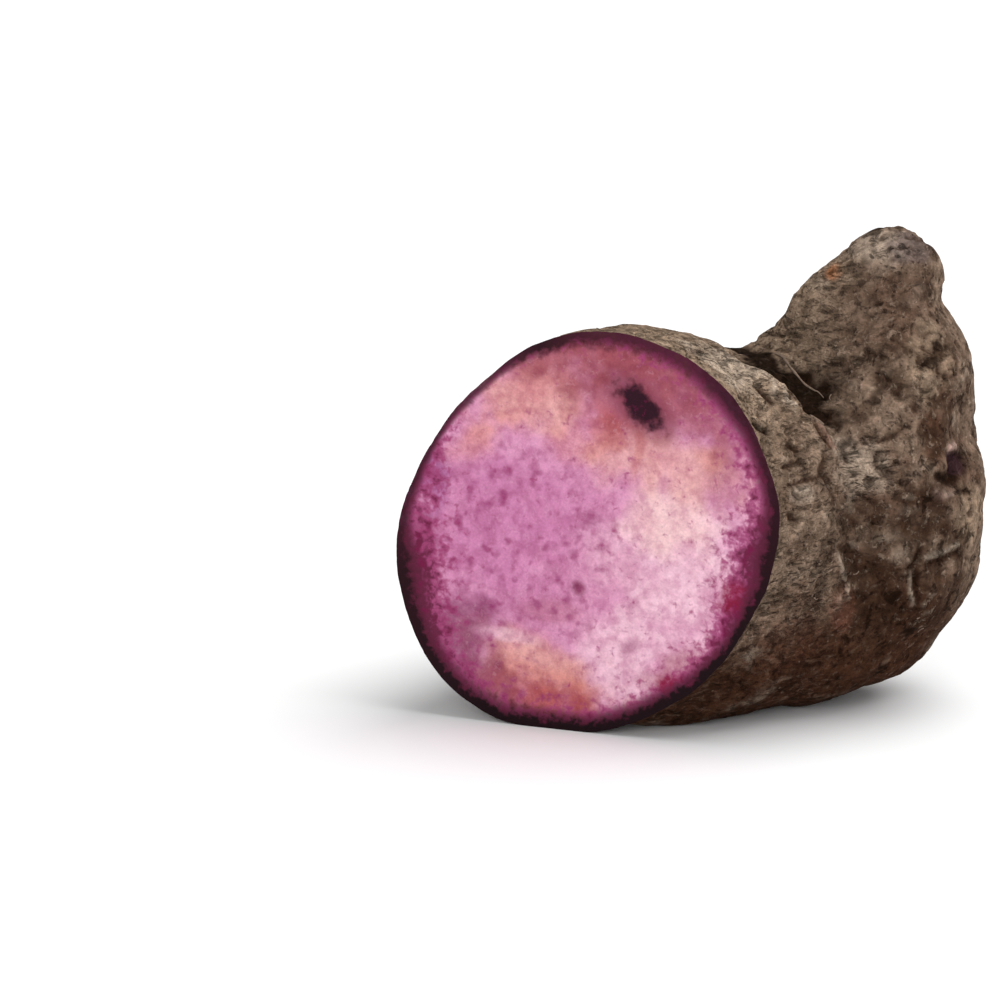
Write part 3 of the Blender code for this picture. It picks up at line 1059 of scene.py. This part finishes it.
def flesh_material():
    flesh = Shading("yam_flesh")
    tone = flesh.stored("flesh_tone", "Color")
    line, line_share = flesh.stored("line"), flesh.stored("line_share")
    band, spot = flesh.stored("band"), flesh.stored("spot")
    speckled = flesh.stored("speckled")
    cloud = flesh.noise(6.0, 5, 0.62, bend=0.6)
    mottle = flesh.noise(1.9, 2, 0.5)
    grain = flesh.noise(0.5, 3, 0.6)
    dots = flesh.spread(flesh.noise(2.6, 1, 0.4), 0.50, 0.84)
    clusters = flesh.noise(2.6, 2, 0.5)
    flecks = flesh.noise(1.7, 2, 0.6, bend=0.3)
    points = flesh.spread(flesh.cells(3.4), 0.30, 0.12)
    points = flesh.math("MULTIPLY", points, flesh.spread(flesh.noise(4.5, 2, 0.5), 0.50, 0.60))
    threads = flesh.spread(flesh.noise(1.3, 3, 0.6, bend=0.6), 0.55, 0.70)

    magenta, crimson = shader_colour(FLESH_TONES["magenta"]), shader_colour(FLESH_TONES["crimson"])
    deeper = flesh.mix(1.0, tone, shader_colour(FLESH_TONES["blush"]), "MULTIPLY")
    colour = flesh.mix(flesh.spread(cloud, 0.4, 0.7, 0.0, 0.6), tone, deeper)
    colour = flesh.mix(flesh.spread(mottle, 0.42, 0.75, 0.0, 0.65), colour, deeper)
    colour = flesh.shade(colour, flesh.spread(mottle, 0.28, 0.5, 1.09, 1.0))
    colour = flesh.mix(flesh.math("MULTIPLY", threads, 0.12), colour, shader_colour(FLESH_TONES["pale"]))
    colour = flesh.mix(flesh.share(dots, speckled, 0.75), colour, magenta)
    colour = flesh.mix(flesh.share(points, speckled, 0.5), colour, magenta)

    rough = flesh.math("ADD", flesh.math("MULTIPLY", clusters, 1.0), flesh.math("MULTIPLY", flecks, 1.8))
    ragged = flesh.math("ADD", band, flesh.math("SUBTRACT", rough, 1.4))
    colour = flesh.mix(flesh.spread(ragged, 0.15, 0.7, 0.0, 0.88), colour, shader_colour(FLESH_TONES["plum"]))
    colour = flesh.mix(flesh.spread(ragged, 0.6, 1.15, 0.0, 0.95), colour, shader_colour(FLESH_TONES["wine"]))
    colour = flesh.mix(flesh.share(dots, band, 0.9), colour, crimson)
    blotch = flesh.share(flesh.stored("blotch"), flesh.spread(flecks, 0.3, 0.6, 0.5, 1.0), 1.0)
    colour = flesh.mix(blotch, colour, shader_colour(FLESH_TONES["blood"]))
    colour = flesh.shade(colour, flesh.spread(grain, 0.25, 0.75, 0.92, 1.08))

    uneven = flesh.math("ADD", flesh.math("MULTIPLY", clusters, 0.9), flesh.math("MULTIPLY", flecks, 1.3))
    line_edge = flesh.math("ADD", line, flesh.math("SUBTRACT", uneven, 1.1))
    dusk, black = shader_colour(FLESH_TONES["dusk"]), shader_colour(FLESH_TONES["line"])
    colour = flesh.mix(flesh.spread(line_edge, 1.75, 0.85, 0.0, 0.8), colour, dusk)
    colour = flesh.mix(flesh.share(flesh.spread(line_edge, 1.0, 0.45), line_share, 1.0), colour, black)
    spot_edge = flesh.math("ADD", spot, flesh.math("MULTIPLY", flesh.math("SUBTRACT", mottle, 0.5), 1.0))
    colour = flesh.mix(flesh.spread(spot_edge, 1.7, 0.7, 0.0, 0.75), colour, shader_colour(FLESH_TONES["bruise"]))
    spot_tone = flesh.mix(flesh.math("MULTIPLY", threads, 0.35), shader_colour(FLESH_TONES["spot"]), crimson)
    colour = flesh.mix(flesh.spread(spot_edge, 1.05, 0.5), colour, spot_tone)

    relief = flesh.bump(mottle, 0.12)
    relief = flesh.bump(grain, 0.05, relief)
    flesh.feed(flesh.surface.inputs["Base Color"], colour)
    flesh.feed(flesh.surface.inputs["Normal"], relief)
    flesh.surface.inputs["Roughness"].default_value = 0.5
    flesh.surface.inputs["Specular IOR Level"].default_value = 0.05
    flesh.surface.inputs["Subsurface Weight"].default_value = 0.08
    flesh.surface.inputs["Subsurface Radius"].default_value = (1.0, 0.4, 0.5)
    flesh.surface.inputs["Subsurface Scale"].default_value = 1.2 * METRES
    return flesh.material


def rootlet_material():
    root = Shading("yam_rootlet")
    tone = shader_colour(from_screen(122, 104, 91))
    root.feed(root.surface.inputs["Base Color"], root.shade(tone, root.spread(root.noise(1.2), 0.3, 0.7, 0.7, 1.2)))
    root.surface.inputs["Roughness"].default_value = 0.9
    root.surface.inputs["Specular IOR Level"].default_value = 0.06
    return root.material


# ---- pieces ----


def smooth_but_for_the_rim(mesh):
    mesh.shade_smooth()
    bm = bmesh.new()
    bm.from_mesh(mesh)
    for edge in bm.edges:
        if len({face.material_index for face in edge.link_faces}) > 1:
            edge.smooth = False
    bm.to_mesh(mesh)
    bm.free()


def finished_piece(piece):
    """Adds a piece to the scene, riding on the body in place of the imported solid."""
    bpy.context.scene.collection.objects.link(piece)
    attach(piece, "root")
    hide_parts("yam_half")


def make_yam(skin, uncarved):
    bm = bmesh.new()
    bm.from_mesh(skin)
    ordered = cut_flat(bm)
    rim = np.array([(v.co.x, v.co.z) for v in ordered])
    fill_face(bm, ordered)
    bmesh.ops.recalc_face_normals(bm, faces=bm.faces)
    mesh = bpy.data.meshes.new("yam_visible")
    bm.to_mesh(mesh)
    bm.free()
    paint(mesh, rim, uncarved)
    smooth_but_for_the_rim(mesh)
    mesh.transform(Matrix.Translation(FACE_MIDDLE) @ Matrix.Scale(METRES, 4))
    mesh.materials.append(skin_material())
    mesh.materials.append(flesh_material())
    finished_piece(bpy.data.objects.new("yam_visible", mesh))


def evenly(path):
    """Points about one rootlet step apart along a path."""
    corners = np.array(path, float)
    passed = np.concatenate([[0], np.cumsum(np.linalg.norm(np.diff(corners, axis=0), axis=1))])
    places = np.linspace(0, passed[-1], max(3, round(passed[-1] / ROOTLET_STEP) + 1))
    return np.column_stack([np.interp(places, passed, corners[:, axis]) for axis in range(3)])


def stub_paths(skin):
    """Short rootlets strewn over the skin, each with its thickness."""
    chance = np.random.default_rng(8)
    points, normals = read_points(skin), read_normals(skin)
    allowed = np.flatnonzero((points[:, 1] > CUT + 3) & (points[:, 2] > GROUND + 4))
    for index in chance.choice(allowed, STUBS, replace=False):
        along = np.cross(normals[index], chance.normal(size=3))
        along *= chance.uniform(*STUB_LENGTHS) / np.linalg.norm(along)
        bend = 0.4 * np.cross(along, normals[index])
        yield (points[index], points[index] + 0.5 * along + bend, points[index] + along), chance.uniform(0.6, 1.1)


def add_rootlet(curve, tree, path, thickness, free):
    """Adds one tapering, knobbly rootlet whose points lie on the skin, or only its ends if it hangs free."""
    points = evenly(path)
    spline = curve.splines.new("NURBS")
    spline.points.add(len(points) - 1)
    spline.use_endpoint_u = True
    spline.order_u = 3
    for index, (knot, point) in enumerate(zip(spline.points, points, strict=True)):
        place = Vector(point)
        if not free or index in (0, len(points) - 1):
            nearest, outward, _, _ = tree.find_nearest(place)
            place = nearest + outward * 0.3 * ROOTLET_RADIUS * thickness
        knot.co = (*(FACE_MIDDLE + place * METRES), 1)
        knot.radius = thickness * (1 - 0.6 * index / len(points)) * (1 + 0.25 * math.sin(5 * index))


def make_rootlets(skin):
    curve = bpy.data.curves.new("yam_rootlets", "CURVE")
    curve.dimensions = "3D"
    curve.bevel_depth = ROOTLET_RADIUS * METRES
    curve.bevel_resolution = 1
    curve.resolution_u = 3
    curve.use_fill_caps = True
    tree = skin_tree(skin)
    for path, thickness, free in ROOTLETS.values():
        add_rootlet(curve, tree, path, thickness, free)
    for path, thickness in stub_paths(skin):
        add_rootlet(curve, tree, path, thickness, False)
    curve.materials.append(rootlet_material())
    finished_piece(bpy.data.objects.new("yam_rootlets", curve))


# ---- surroundings ----

VIEW_AZIMUTH = 22.0
VIEW_ELEVATION = 12.0
VIEW_DISTANCE = 750.0
LENS = 121.8
AIM_RIGHT = -18.95
AIM_UP = 7.96
AIM_FORWARD = 0.6
FLOOR_WIDTH = 60000.0
FLOOR_COLOUR = (0.90, 0.90, 0.90, 1.0)
WORLD_STRENGTH = 0.45


def view_directions():
    """The camera's backward, right and up directions."""
    azimuth, elevation = math.radians(VIEW_AZIMUTH), math.radians(VIEW_ELEVATION)
    back = Vector(
        (math.sin(azimuth) * math.cos(elevation), -math.cos(azimuth) * math.cos(elevation), math.sin(elevation))
    )
    right = Vector((math.cos(azimuth), math.sin(azimuth), 0))
    return back, right, back.cross(right)


def make_camera():
    back, right, up = view_directions()
    aim = FACE_MIDDLE + (right * AIM_RIGHT + up * AIM_UP + back * AIM_FORWARD) * METRES
    data = bpy.data.cameras.new("camera")
    data.lens = LENS
    data.clip_start, data.clip_end = 0.01, 50
    camera = bpy.data.objects.new("camera", data)
    camera.matrix_world = Matrix.Translation(aim + back * VIEW_DISTANCE * METRES) @ Matrix(
        (right, up, back)
    ).transposed().to_4x4()
    bpy.context.scene.collection.objects.link(camera)
    bpy.context.scene.camera = camera


def make_floor():
    bm = bmesh.new()
    bmesh.ops.create_grid(bm, x_segments=1, y_segments=1, size=FLOOR_WIDTH * METRES / 2)
    mesh = bpy.data.meshes.new("floor")
    bm.to_mesh(mesh)
    bm.free()
    paint_of_floor = bpy.data.materials.new("floor_white")
    paint_of_floor.use_nodes = True
    surface = paint_of_floor.node_tree.nodes["Principled BSDF"]
    surface.inputs["Base Color"].default_value = FLOOR_COLOUR
    surface.inputs["Roughness"].default_value = 0.9
    surface.inputs["Specular IOR Level"].default_value = 0.1
    mesh.materials.append(paint_of_floor)
    floor = bpy.data.objects.new("floor", mesh)
    bpy.context.scene.collection.objects.link(floor)


# Soft lights from far away: the direction each comes from, how wide it looks in degrees, and its strength.
LIGHTS = {
    "key": ((0.36, 0.24, 0.9), 60.0, 2.5),
    "fill": ((0.15, -0.95, 0.28), 45.0, 1.35),
}


def make_lights():
    for name, (source, width, strength) in LIGHTS.items():
        data = bpy.data.lights.new(name, "SUN")
        data.angle = math.radians(width)
        data.energy = strength
        light = bpy.data.objects.new(name, data)
        light.rotation_euler = Vector(source).to_track_quat("Z", "Y").to_euler()
        bpy.context.scene.collection.objects.link(light)


def make_world():
    world = bpy.data.worlds.new("studio")
    world.use_nodes = True
    sky = world.node_tree.nodes["Background"]
    sky.inputs["Color"].default_value = (1, 1, 1, 1)
    sky.inputs["Strength"].default_value = WORLD_STRENGTH
    bpy.context.scene.world = world


carved, uncarved_tree = carved_skin()
make_yam(carved, uncarved_tree)
make_rootlets(carved)
make_floor()
make_lights()
make_world()
make_camera()
bpy.context.scene.view_settings.view_transform = "Standard"
